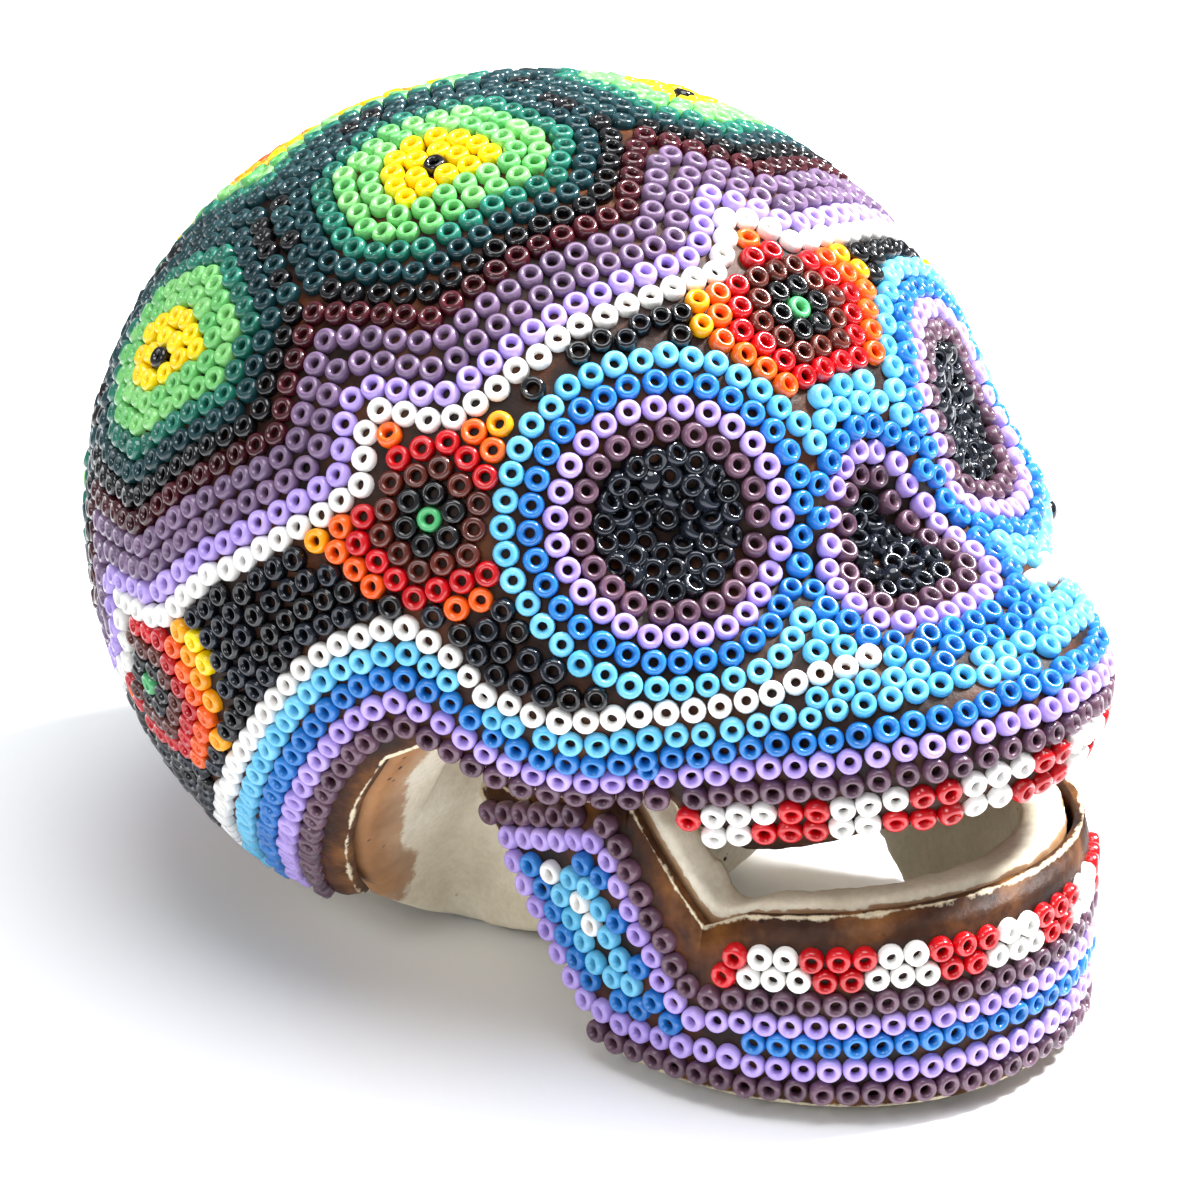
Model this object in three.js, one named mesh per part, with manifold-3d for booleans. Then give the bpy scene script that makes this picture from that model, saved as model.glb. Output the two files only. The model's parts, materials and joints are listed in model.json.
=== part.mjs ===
// Beaded skull with a hinged lower jaw, in the Huichol (Wixarika) manner: a pale cast skull,
// a skin of brown beeswax over it, and glass seed beads pressed into the wax in bands.
// Every band of one colour is its own part. Millimetres, +Z up, the face towards -Y, and the
// skull stands on its flat base at z = 0 with the jaw open and lying on the same ground.

import * as THREE from 'three';
import { mergeVertices } from 'three/addons/utils/BufferGeometryUtils.js';
import Module from 'manifold-3d';

// ---- layers, measured outwards from the casting ----
const GAP = 0.3;                       // clearance between neighbouring parts
const HALF_GAP = GAP / 2;
const WAX = [0.3, 1.0];                // inner and outer face of the wax
const BEADS = [1.3, 2.6];              // inner and outer face of the bead layer
const ROW = 2.25;                      // one row of seed beads, centre to centre
const WAX_MARGIN = 1.0;                // wax showing beyond the last row

const MIDDLE_Y = 7.93;                 // half-way along the skull, moved to the origin

// ---- cranium ----
const CENTRE = new THREE.Vector3(0, 16.2, 35.4);
const CRANIUM = new THREE.Vector3(39.2, 41.5, 38.3);    // half-sizes of the casting
const MUZZLE = { at: [0, -18.5, 29.5], half: [20, 23.5, 8.5], tilt: 15, square: 4 };
const CHEEK = { at: [21.5, -11.5, 35.5], half: [7.5, 10.5, 6.5], tilt: 15 };
const SOCKET_DEPTH = 3;
const BITE_SLOPE = 0.27;               // rise of the upper tooth line towards the front
const BITE_HEIGHT = 15.83;             // its height where y = 0
const BASE = { at: [0, 17, 20], half: [22, 20, 26] };   // rounded underside, left bare
const BEAD_FLOOR = 9.5;                // the beads stop at this height round the back
const SKULL_DETAIL = 5;
const FACE_CROWDING = 1.12;
const POCKET_WALL = 25.3;              // how far out the pocket behind the cheek reaches
const INNER_WALL = 15.8;               // half-width left between the two jaw openings

// ---- pattern on the crown, in angles about a pole at the back of the crown ----
const POLE_TILT = 51.6;                // back from vertical
const CELLS = 7;
const STEP = 360 / CELLS;
const CELL_TOP = { middle: 34, seam: 44 };
const CELL_EDGE = { flat: 77.5, notch: 65.8 };
const ROW_ANGLE = { flat: 3.15, notch: 4.25 };
const SUN = { halfWidth: 14, shoulder: 99, foot: 111, footHalf: 5 };
const BACK_SQUEEZE = 0.13;             // the pattern closes up towards the back

// ---- face ----
const EYE = { at: [19, -19.2, 51.1], out: [0.469, -0.785, 0.405] };
const EYE_SIDES = 20;                   // straight steps round an eye
const EYE_FILL = 6.3;                  // radius of the dark middle
const NOSE = { at: [0, -28.4, 47.2], out: [0, -0.94, 0.34], width: 6.6, height: 6.2 };
const BRIDGE = [[-9, 0], [9, 0], [9, 11], [0, 14.5], [-9, 11]];   // sky beads, seen face on
const MUZZLE_BACK = -23.5;             // where the tooth rows end
const LIP_HALF = 10;                   // sky beads fill the lip between these

// ---- jaw ----
const JAW_BACK = -17;                  // where the front curve meets the straight sides
const JAW_HALF = 21.6;                 // half-width of the casting
const JAW_REACH = 24.7;                // front curve, forward of JAW_BACK
const JAW_WALL = 4.5;
const JAW_SEGMENTS = 14;               // steps round the front curve
const JAW_TAPER = 0.0066;              // the rows close up a little towards the back
const BODY_ROW = 2.2;                  // row to row along the body of the jaw
const BRANCH_ROW = 1.95;               // and across its branches, where the rows nest
const HINGE = { y: -3, z: 25.5 };
const CONDYLE_RADIUS = 3.6;
const PIN = { radius: 0.8, socket: 1.1, bore: 1.2, inner: 13.2, outer: 23.4 };

const COLOURS = {
  bone: 0xe9e2d2, wax: 0x6b4226, black: 0x17191d, gunmetal: 0x2a3038, steel: 0x9a9a98,
  lilac: 0xb79ce0, mauve: 0x7c6480, plum: 0x62404f, maroon: 0x3a171c, white: 0xf1f0ee,
  sky: 0x58b4e4, blue: 0x2878bd, red: 0xc2121c, orange: 0xee6a1c, green: 0x3f9a72,
};
const FINISH = {
  bone: [0.65, 0], wax: [0.4, 0], steel: [0.35, 1], gunmetal: [0.2, 0.5], black: [0.15, 0.2],
};

const wasm = await Module();
wasm.setup();

// ---------------------------------------------------------------- solids and booleans

function toSolid(geometry) {
  const plain = geometry.clone();
  plain.deleteAttribute('normal');
  plain.deleteAttribute('uv');
  const merged = mergeVertices(plain, 1e-4);
  return new wasm.Manifold(new wasm.Mesh({
    numProp: 3,
    vertProperties: new Float32Array(merged.attributes.position.array),
    triVerts: new Uint32Array(merged.index.array),
  }));
}

function toGeometry(solid) {
  const mesh = solid.getMesh();
  const geometry = new THREE.BufferGeometry();
  geometry.setAttribute('position', new THREE.BufferAttribute(mesh.vertProperties, 3));
  geometry.setIndex(new THREE.BufferAttribute(mesh.triVerts, 1));
  geometry.computeVertexNormals();
  return geometry;
}

const join = (...solids) => solids.reduce((sum, solid) => sum.add(solid));
const cut = (solid, ...cutters) => cutters.reduce((rest, cutter) => rest.subtract(cutter), solid);
const meet = (...solids) => solids.reduce((common, solid) => common.intersect(solid));

function box(low, high) {
  const size = high.map((value, axis) => value - low[axis]);
  const middle = high.map((value, axis) => (value + low[axis]) / 2);
  return toSolid(new THREE.BoxGeometry(...size).translate(...middle));
}

function ellipsoid({ at, half }, segments = 28) {
  const ball = new THREE.SphereGeometry(1, segments, segments / 2);
  return toSolid(ball.scale(...half).translate(...at));
}

// A prism along X whose outline is drawn in the side view, as [y, z] points.
function sidePrism(outline, low = -60, high = 60) {
  const shape = new THREE.Shape(outline.map(([y, z]) => new THREE.Vector2(y, z)));
  const prism = new THREE.ExtrudeGeometry(shape, { depth: high - low, bevelEnabled: false });
  prism.translate(0, 0, low);
  const axes = new THREE.Matrix4().makeBasis(
    new THREE.Vector3(0, 1, 0), new THREE.Vector3(0, 0, 1), new THREE.Vector3(1, 0, 0));
  return toSolid(prism.applyMatrix4(axes));
}

// A prism standing on the face: drawn in the plane across `out`, and running both ways.
function facePrism(outline, at, out, reach = 14) {
  const shape = new THREE.Shape(outline.map(([across, up]) => new THREE.Vector2(across, up)));
  const prism = new THREE.ExtrudeGeometry(shape, { depth: 2 * reach, bevelEnabled: false });
  prism.translate(0, 0, -reach);
  const outward = new THREE.Vector3(...out).normalize();
  const across = new THREE.Vector3(0, 0, 1).cross(outward).normalize();
  const up = outward.clone().cross(across);
  const axes = new THREE.Matrix4().makeBasis(across, up, outward);
  return toSolid(prism.applyMatrix4(axes.setPosition(...at)));
}

// ---------------------------------------------------------------- the skull's surface

// Roughly the distance outside an ellipsoid. `square` above 2 flattens it top and bottom.
function ellipsoidDistance(point, { at, half, tilt = 0, square = 2 }) {
  const local = point.clone().sub(new THREE.Vector3(...at));
  local.applyAxisAngle(new THREE.Vector3(1, 0, 0), THREE.MathUtils.degToRad(tilt));
  const plan = Math.hypot(local.x / half[0], local.y / half[1]);
  const scale = (plan ** square + Math.abs(local.z / half[2]) ** square) ** (1 / square);
  const distance = local.length();
  return distance - distance / Math.max(scale, 1e-6);
}

function blend(a, b, width) {
  const share = Math.max(width - Math.abs(a - b), 0) / width;
  return Math.min(a, b) - share * share * width / 4;
}

const mirrored = (part) => ({ ...part, at: [-part.at[0], part.at[1], part.at[2]] });

// Roughly the distance outside the casting: cranium, muzzle and cheekbones run together,
// with a dished socket round each eye and a hollow at the nose.
function skullDistance(point) {
  let distance = ellipsoidDistance(point, { at: CENTRE.toArray(), half: CRANIUM.toArray() });
  distance = blend(distance, ellipsoidDistance(point, MUZZLE), 7);
  for (const cheek of [CHEEK, mirrored(CHEEK)]) {
    distance = blend(distance, ellipsoidDistance(point, cheek), 6);
  }
  for (const side of [-1, 1]) {
    const eye = new THREE.Vector3(side * EYE.at[0], EYE.at[1], EYE.at[2]);
    const out = new THREE.Vector3(side * EYE.out[0], EYE.out[1], EYE.out[2]);
    const offset = point.clone().sub(eye);
    const radius = offset.clone().addScaledVector(out, -offset.dot(out)).length();
    distance += SOCKET_DEPTH * (1 - THREE.MathUtils.smoothstep(radius, 2.5, 8));
  }
  const nose = point.clone().sub(new THREE.Vector3(...NOSE.at));
  distance += 2.5 * Math.exp(-((nose.x / 4) ** 2) - ((nose.z / 5) ** 4));
  return distance;
}

function skullRadius(direction, layer) {
  let near = 10;
  let far = 80;
  for (let step = 0; step < 40; step += 1) {
    const middle = (near + far) / 2;
    const point = CENTRE.clone().addScaledVector(direction, middle);
    if (skullDistance(point) < layer) near = middle; else far = middle;
  }
  return near;
}

// A closed solid seen from CENTRE: a sphere whose points crowd towards the face and then
// move out to the given layer.
function skullSolid(layer) {
  const sphere = new THREE.IcosahedronGeometry(1, SKULL_DETAIL).rotateX(0.3);
  const position = sphere.attributes.position;
  const face = new THREE.Vector3(0, -1, 0);
  const point = new THREE.Vector3();
  for (let index = 0; index < position.count; index += 1) {
    point.fromBufferAttribute(position, index).normalize();
    const angle = point.angleTo(face);
    const crowded = Math.PI * (angle / Math.PI) ** FACE_CROWDING;
    const axis = face.clone().cross(point).normalize();
    point.copy(face).applyAxisAngle(axis, crowded);
    position.setXYZ(index, ...CENTRE.clone().addScaledVector(point, skullRadius(point, layer)));
  }
  return toSolid(sphere);
}

// ---------------------------------------------------------------- pattern about the pole

const poleAngle = THREE.MathUtils.degToRad(POLE_TILT);
const POLE = new THREE.Vector3(0, Math.sin(poleAngle), Math.cos(poleAngle));
const POLE_FRONT = new THREE.Vector3(0, -Math.cos(poleAngle), Math.sin(poleAngle));
const POLE_SIDE = new THREE.Vector3(-1, 0, 0);

function squeeze(turn) {
  const away = Math.abs(((turn + 540) % 360) - 180);
  return 1 + BACK_SQUEEZE * THREE.MathUtils.smoothstep(away, 60, 107)
    + BACK_SQUEEZE * THREE.MathUtils.smoothstep(away, 107, 170);
}

function patternDirection(turn, fromPole) {
  const theta = THREE.MathUtils.degToRad(fromPole / squeeze(turn));
  const phi = THREE.MathUtils.degToRad(turn);
  return POLE.clone().multiplyScalar(Math.cos(theta))
    .addScaledVector(POLE_FRONT, Math.sin(theta) * Math.cos(phi))
    .addScaledVector(POLE_SIDE, Math.sin(theta) * Math.sin(phi));
}

// A cone from CENTRE through a closed outline of [turn, fromPole] points, fanned about
// its own middle direction so that it holds everything out to REACH.
const REACH = 90;
function patternCone(outline, middle) {
  const rings = 4;
  const points = [CENTRE.clone()];
  const hub = patternDirection(...middle);
  points.push(CENTRE.clone().addScaledVector(hub, REACH));
  for (let ring = 1; ring <= rings; ring += 1) {
    for (const [turn, fromPole] of outline) {
      const rim = patternDirection(turn, fromPole);
      const angle = hub.angleTo(rim) * ring / rings;
      const across = rim.clone().addScaledVector(hub, -hub.dot(rim)).normalize();
      const direction = hub.clone().multiplyScalar(Math.cos(angle))
        .addScaledVector(across, Math.sin(angle));
      points.push(CENTRE.clone().addScaledVector(direction, REACH));
    }
  }
  const count = outline.length;
  const index = [];
  const at = (ring, step) => 2 + (ring - 1) * count + (step % count);
  for (let step = 0; step < count; step += 1) {
    index.push(1, at(1, step), at(1, step + 1));
    for (let ring = 1; ring < rings; ring += 1) {
      index.push(at(ring, step), at(ring + 1, step), at(ring + 1, step + 1));
      index.push(at(ring, step), at(ring + 1, step + 1), at(ring, step + 1));
    }
    index.push(0, at(rings, step + 1), at(rings, step));
  }
  const geometry = new THREE.BufferGeometry().setFromPoints(points);
  geometry.setIndex(index);
  return toSolid(geometry);
}

// The zigzag outline `rows` bead rows outside the green cells, moved by `shift` degrees.
function zigzag(rows, shift = 0) {
  const flat = CELL_EDGE.flat + ROW_ANGLE.flat * rows + shift;
  const notch = CELL_EDGE.notch + ROW_ANGLE.notch * rows + shift * 1.35;
  const half = (flat - notch) * 1.05;
  const outline = [];
  for (let cell = 0; cell < CELLS; cell += 1) {
    const turn = cell * STEP;
    outline.push([turn, notch], [turn + half, flat], [turn + STEP / 2, flat - 1.2],
      [turn + STEP - half, flat]);
  }
  return outline.reverse();
}

const GAP_ANGLE = THREE.MathUtils.radToDeg(HALF_GAP / 40);
const zigzagCone = (rows, shift) => patternCone(zigzag(rows, shift * GAP_ANGLE), [0, 0]);

function cellOutline(cell) {
  const left = cell * STEP + GAP_ANGLE;
  const right = (cell + 1) * STEP - GAP_ANGLE;
  const middle = (cell + 0.5) * STEP;
  const half = (CELL_EDGE.flat - CELL_EDGE.notch) * 1.05;
  return [[left, CELL_EDGE.notch], [left, CELL_TOP.seam], [middle, CELL_TOP.middle],
    [right, CELL_TOP.seam], [right, CELL_EDGE.notch], [right - half, CELL_EDGE.flat],
    [middle, CELL_EDGE.flat - 1.2], [left + half, CELL_EDGE.flat]];
}

function crownOutline() {
  const outline = [];
  for (let cell = 0; cell < CELLS; cell += 1) {
    outline.push([cell * STEP, CELL_TOP.seam - 3 * GAP_ANGLE],
      [(cell + 0.5) * STEP, CELL_TOP.middle - 3 * GAP_ANGLE]);
  }
  return outline.reverse();
}

function sunOutline(turn, grow = 0) {
  const half = SUN.halfWidth + grow;
  const footHalf = SUN.footHalf + grow;
  const foot = SUN.foot + grow;
  return [[turn - half, 82], [turn + half, 82], [turn + half, SUN.shoulder],
    [turn + footHalf, foot], [turn - footHalf, foot], [turn - half, SUN.shoulder]];
}

// ---------------------------------------------------------------- bands along the cheek

// Side view of the cheek bands, front to back: the top edge of the white row and the
// bottom edge of the plum row, five rows below. They climb gently from the muzzle along
// the cheekbone, sweep up over the jaw opening and run down behind it.
const ARCH_TOP = [[-60, 48.5], [-44, 44.2], [-30, 40.4], [-18, 37.2], [-11.5, 38.2], [-7, 42],
  [-2.5, 43], [3.5, 38.6], [9, 32], [15, 24.6], [22, 16.5], [32, 2]];
const ARCH_FOOT = [[-60, 37.3], [-44, 33], [-30, 29.2], [-20, 26.5], [-13, 28.3], [-8.5, 31.2],
  [-4.5, 32.2], [-0.5, 29.6], [3.5, 23.5], [8, 15.5], [12, 8], [19, -6]];
const ARCH_ROWS = 5;

function archLine(rows) {
  const share = rows / ARCH_ROWS;
  const knots = ARCH_TOP.map(([y, z], index) => new THREE.Vector2(
    THREE.MathUtils.lerp(y, ARCH_FOOT[index][0], share),
    THREE.MathUtils.lerp(z, ARCH_FOOT[index][1], share)));
  return new THREE.SplineCurve(knots).getPoints(22).map((point) => [point.x, point.y]);
}

// Everything below the arch line, as a prism.
function belowArch(rows) {
  const line = archLine(rows);
  return sidePrism([...line, [line.at(-1)[0], -20], [line[0][0], -20]].reverse());
}

// ---------------------------------------------------------------- openings in the casting

// The slope of the upper tooth line, raised by `up`.
const biteLine = (y, up = 0) => BITE_HEIGHT - BITE_SLOPE * y + up;

// Moves every side of a closed outline outwards (or inwards, below zero) by `distance`, or
// by its own distance from a list. A side runs from its point to the next one.
function offsetOutline(outline, distance) {
  const count = outline.length;
  const reach = (index) => (Array.isArray(distance) ? distance.at(index) : distance);
  const area = outline.reduce((sum, [x, y], index) => {
    const [nextX, nextY] = outline[(index + 1) % count];
    return sum + x * nextY - nextX * y;
  }, 0);
  const outward = Math.sign(area);
  const normal = (index) => {
    const [x, y] = outline.at(index);
    const [nextX, nextY] = outline[(index + count + 1) % count];
    const length = Math.hypot(nextX - x, nextY - y);
    return [outward * (nextY - y) / length, outward * (x - nextX) / length];
  };
  return outline.map(([x, y], index) => {
    const [ax, ay] = normal(index - 1);
    const [bx, by] = normal(index);
    const straight = ax * bx + ay * by;
    const alongA = (reach(index - 1) - straight * reach(index)) / (1 - straight ** 2);
    const alongB = (reach(index) - straight * reach(index - 1)) / (1 - straight ** 2);
    return [x + ax * alongA + bx * alongB, y + ay * alongA + by * alongB];
  });
}

// Side view of the opening that clears the jaw on each side, under the cheek arch, and of
// the deeper pocket behind the cheekbone where the top of the jaw swings.
const JAW_OPENING = [[-24, -8], [12, -8], [10.9, 7.4], [6.9, 14.9], [2.4, 22.7], [-1.5, 28.4],
  [-5, 30.5], [-8.6, 29.6], [-13.5, 26.9], [-20, 25.2], [-24, 24.6]];
const POCKET = [[-22.3, 15], [5.5, 15], [5.5, 24], [3, 30], [-3, 33], [-9, 31], [-19, 30],
  [-22.3, 27.6]];
const UNDER_JAW = [[-60, -8], [-1, -8], [-1, biteLine(-1)], [-60, biteLine(-60)]];

// Where the casting is open: both jaw openings and the space under the palate. `grow`
// holds the wax and the beads back from the edges.
function openings(grow) {
  const side = offsetOutline(JAW_OPENING, grow);
  return join(
    sidePrism(side, -60, -INNER_WALL), sidePrism(side, INNER_WALL, 60),
    sidePrism(POCKET, -POCKET_WALL, -INNER_WALL), sidePrism(POCKET, INNER_WALL, POCKET_WALL),
    sidePrism(offsetOutline(UNDER_JAW, grow)));
}

// ---------------------------------------------------------------- parts

const group = new THREE.Group();
group.name = 'huichol_beaded_skull';
group.position.y = -MIDDLE_Y;

function addPart(name, solid, colour) {
  const [roughness, metalness] = FINISH[colour] ?? [0.3, 0];
  const material = new THREE.MeshStandardMaterial({
    color: COLOURS[colour], roughness, metalness });
  const mesh = new THREE.Mesh(toGeometry(solid), material);
  mesh.name = name;
  group.add(mesh);
}

const SIDES = [['right', -1], ['left', 1]];      // the skull's own right is towards -X
const halfSpace = (side) => (side < 0
  ? box([-70, -80, -20], [-HALF_GAP, 80, 90]) : box([HALF_GAP, -80, -20], [70, 80, 90]));

// A round cutter about one eye's axis.
function eyeRound(side, radius) {
  const out = [side * EYE.out[0], EYE.out[1], EYE.out[2]];
  const at = [side * EYE.at[0], EYE.at[1], EYE.at[2]];
  const outline = Array.from({ length: EYE_SIDES }, (_, step) => {
    const angle = step / EYE_SIDES * 2 * Math.PI;
    return [radius * Math.cos(angle), radius * Math.sin(angle)];
  });
  return facePrism(outline, at, out);
}

// A closed outline grown outwards by `radius` with its corners rounded (anticlockwise).
function roundedOutline(corners, radius, steps = 4) {
  return corners.flatMap(([x, y], index) => {
    const [beforeX, beforeY] = corners.at(index - 1);
    const [afterX, afterY] = corners[(index + 1) % corners.length];
    const from = Math.atan2(beforeX - x, y - beforeY);
    let to = Math.atan2(x - afterX, afterY - y);
    while (to < from) to += 2 * Math.PI;
    return Array.from({ length: steps + 1 }, (_, step) => {
      const angle = from + (to - from) * step / steps;
      return [x + radius * Math.cos(angle), y + radius * Math.sin(angle)];
    });
  });
}

// The nose hollow and the rows round it, out to `rows` rows beyond the dark middle.
function noseShape(rows, gap) {
  const half = NOSE.width / 2;
  const corners = [[-half, -NOSE.height / 2], [half, -NOSE.height / 2], [0, NOSE.height / 2]];
  return facePrism(roundedOutline(corners, ROW * (rows + 0.5) + gap), NOSE.at, NOSE.out);
}

function buildCranium() {
  const ground = box([-70, -80, -40], [70, 80, 0]);
  const base = ellipsoid(BASE);
  const skull = skullSolid(0);
  const sockets = alongX(PIN.socket, -PIN.outer, -PIN.inner + GAP).add(
    alongX(PIN.socket, PIN.inner - GAP, PIN.outer));
  addPart('cranium_casting', cut(skull, ground, cut(openings(0), base), sockets), 'bone');

  const waxFloor = box([-70, -80, -40], [70, 80, BEAD_FLOOR - WAX_MARGIN]);
  const wax = cut(skullSolid(WAX[1]), skullSolid(WAX[0]), waxFloor, openings(GAP));
  addPart('cranium_wax', wax, 'wax');

  const beadFloor = box([-70, -80, -40], [70, 80, BEAD_FLOOR]);
  const beads = cut(skullSolid(BEADS[1]), skullSolid(BEADS[0]), beadFloor,
    openings(WAX_MARGIN));

  // crown: the star in the middle, the green cells round it, and the zigzag rows outside
  addPart('crown_star', meet(beads, patternCone(crownOutline(), [0, 0])), 'green');
  for (let cell = 0; cell < CELLS; cell += 1) {
    const middle = [(cell + 0.5) * STEP, 56];
    addPart(`green_cell_${cell + 1}`, meet(beads, patternCone(cellOutline(cell), middle)),
      'green');
  }
  const zigzags = [['maroon_zigzag', 0, 1, 'maroon'], ['mauve_zigzag', 1, 3, 'mauve'],
    ['lilac_zigzag', 3, 4, 'lilac'], ['white_zigzag', 4, 5, 'white']];
  for (const [name, from, to, colour] of zigzags) {
    addPart(name, cut(meet(beads, zigzagCone(to, -1)), zigzagCone(from, 1)), colour);
  }

  // below the zigzags: eyes, nose, suns, arch bands and what is left between them
  let rest = cut(beads, zigzagCone(5, 1));
  const rings = [['fill', 'gunmetal'], ['plum_ring', 'plum'], ['lilac_ring', 'lilac']];
  for (const [sideName, side] of SIDES) {
    rings.forEach(([ringName, colour], ring) => {
      const outer = eyeRound(side, EYE_FILL + ROW * ring - HALF_GAP);
      const inner = ring ? [eyeRound(side, EYE_FILL + ROW * (ring - 1) + HALF_GAP)] : [];
      addPart(`eye_${sideName}_${ringName}`, cut(meet(rest, outer), ...inner), colour);
    });
  }
  const eyes = (radius) => join(eyeRound(-1, radius), eyeRound(1, radius));
  rest = cut(rest, eyes(EYE_FILL + ROW * 2 + HALF_GAP));

  const noseRings = [['nose_fill', 'gunmetal'], ['nose_plum_ring', 'plum'],
    ['nose_lilac_ring', 'lilac']];
  noseRings.forEach(([ringName, colour], ring) => {
    const inner = ring ? [noseShape(ring - 1, HALF_GAP)] : [];
    addPart(ringName, cut(meet(rest, noseShape(ring, -HALF_GAP)), ...inner), colour);
  });
  rest = cut(rest, noseShape(2, HALF_GAP));

  // the blue rows round both eyes join under the nose; the sky rows join over the bridge
  const face = sidePrism([[-60, 10], [-20, 10], [-20, 75], [-60, 75]].reverse());
  const blueReach = join(eyes(EYE_FILL + ROW * 3 - HALF_GAP),
    meet(noseShape(3, -HALF_GAP), face));
  addPart('blue_spectacles', meet(rest, blueReach), 'blue');
  rest = cut(rest, join(eyes(EYE_FILL + ROW * 3 + HALF_GAP),
    meet(noseShape(3, HALF_GAP), face)));
  const skyReach = (gap) => join(
    eyes(EYE_FILL + ROW * 4 + gap),
    facePrism(offsetOutline(BRIDGE, gap), NOSE.at, NOSE.out),
    cut(box([-17 - gap, -60, 36], [17 + gap, -24, 50]), belowArch(-HALF_GAP / ROW)));
  addPart('sky_spectacles', meet(rest, skyReach(-HALF_GAP)), 'sky');
  rest = cut(rest, skyReach(HALF_GAP));

  // bands from the muzzle along the cheekbone and over the jaw opening
  const above = (rows) => belowArch(rows + HALF_GAP / ROW);
  const below = (rows) => belowArch(rows - HALF_GAP / ROW);
  const lip = box([-LIP_HALF, -60, 20], [LIP_HALF, -20, 47]);
  const lipWithGap = box([-LIP_HALF - GAP, -60, 20], [LIP_HALF + GAP, -20, 47]);
  const white = cut(meet(rest, above(0)), below(1), lipWithGap);
  for (const [sideName, side] of SIDES) {
    addPart(`arch_${sideName}_white_row`, meet(white, halfSpace(side)), 'white');
  }
  addPart('sky_cheek_band', cut(meet(rest, join(above(1), meet(lip, above(0)))), below(2)), 'sky');
  addPart('blue_cheek_band', cut(meet(rest, above(2)), below(3)), 'blue');
  addPart('lilac_cheek_band', cut(meet(rest, above(3)), below(4)), 'lilac');
  const plum = cut(meet(rest, above(4)), below(5));
  const muzzle = box([-30, -60, 0], [30, MUZZLE_BACK, 60]);
  const muzzleWithGap = box([-30, -60, 0], [30, MUZZLE_BACK + GAP, 60]);
  addPart('muzzle_plum_row', meet(plum, muzzle), 'plum');
  for (const [sideName, side] of SIDES) {
    const row = cut(meet(plum, halfSpace(side)), muzzleWithGap);
    addPart(`arch_${sideName}_plum_row`, row, 'plum');
  }
  addPart('upper_teeth', meet(rest, above(5), muzzle), 'red');
  rest = cut(rest, below(0));

  // suns under the points of the zigzag, and dark fields between them
  for (let sun = 0; sun < CELLS; sun += 1) {
    const turn = sun * STEP;
    addPart(`sun_${sun + 1}`, meet(rest, patternCone(sunOutline(turn), [turn, 98])), 'orange');
    rest = cut(rest, patternCone(sunOutline(turn, GAP_ANGLE * 2), [turn, 98]));
  }
  const brow = box([-40, -60, 54], [40, 10, 90]);
  const glabella = box([-8, -60, 50], [8, -12, 62]);
  const back = box([-9, 30, 0], [9, 80, 30]);
  for (const [sideName, side] of SIDES) {
    addPart(`brow_${sideName}_field`, cut(meet(rest, brow, halfSpace(side)), glabella),
      'gunmetal');
    addPart(`temple_${sideName}_field`, cut(meet(rest, halfSpace(side)), brow, back),
      'gunmetal');
  }
  addPart('back_field', meet(rest, back), 'gunmetal');
}

// ---------------------------------------------------------------- jaw

// The jaw seen from above: a bar bent into a U, between two offsets from its outer face.
function jawPlan(inner, outer) {
  const back = 12;
  const shape = new THREE.Shape();
  const half = (offset) => JAW_HALF + offset;
  const reach = (offset) => JAW_REACH + offset;
  shape.moveTo(half(outer), back);
  shape.lineTo(half(inner), back).lineTo(half(inner), JAW_BACK);
  shape.absellipse(0, JAW_BACK, half(inner), reach(inner), 0, Math.PI, true);
  shape.lineTo(-half(inner), back).lineTo(-half(outer), back).lineTo(-half(outer), JAW_BACK);
  shape.absellipse(0, JAW_BACK, half(outer), reach(outer), Math.PI, 2 * Math.PI, false);
  const bar = new THREE.ExtrudeGeometry(shape, { depth: 50, bevelEnabled: false,
    curveSegments: JAW_SEGMENTS });
  return toSolid(bar.translate(0, 0, -5));
}

// The height of a row of the jaw at `y`, for a row `z` high at the chin.
const jawRow = (y, z) => [y, z * (1 - JAW_TAPER * (y - JAW_BACK + JAW_REACH))];

// Side view of the whole jaw: body, and the upright branch leaning back to the hinge.
const JAW_SIDE = [[-60, 0], [-16.5, 0], [-14.4, 1.2], [2, 19.8], [1.4, 21.6], [-15.4, 26.8],
  [-17.8, 26.4], [-25.4, 17.4], jawRow(-28.5, 21), jawRow(-60, 21)];
// Side view of the bead field on it, without the teeth.
const JAW_FIELD = [[-60, 1.8], [-15.5, 1.8], [0.4, 19.9], [-16.2, 25.1], jawRow(-25.4, 13.3),
  jawRow(-60, 13.3)];
const BRANCH_FIELD = [[-32, 1.8], [-15.5, 1.8], [0.4, 19.9], [-16.2, 25.1]];

// The bead field `rows` rows in from its edge. The first row doesn't run up the back edge.
function jawField(rows, gap) {
  const body = gap - BODY_ROW * rows;
  const branch = gap - BRANCH_ROW * rows;
  const back = gap - BRANCH_ROW * Math.max(rows - 1, 0);
  return sidePrism(offsetOutline(JAW_FIELD, [body, back, branch, branch, body, 0]));
}

function branchField(rows, gap) {
  const branch = gap - BRANCH_ROW * rows;
  const back = gap - BRANCH_ROW * (rows - 1);
  return sidePrism(offsetOutline(BRANCH_FIELD, [gap - BODY_ROW * rows, back, branch, branch]));
}

const JAW_TEETH = [jawRow(-60, 13.3), jawRow(-27.5, 13.3), jawRow(-27.5, 17.9),
  jawRow(-60, 17.9)];

function alongX(radius, from, to) {
  const rod = new THREE.CylinderGeometry(radius, radius, to - from, 24).rotateZ(Math.PI / 2);
  return toSolid(rod.translate((from + to) / 2, HINGE.y, HINGE.z));
}

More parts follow.
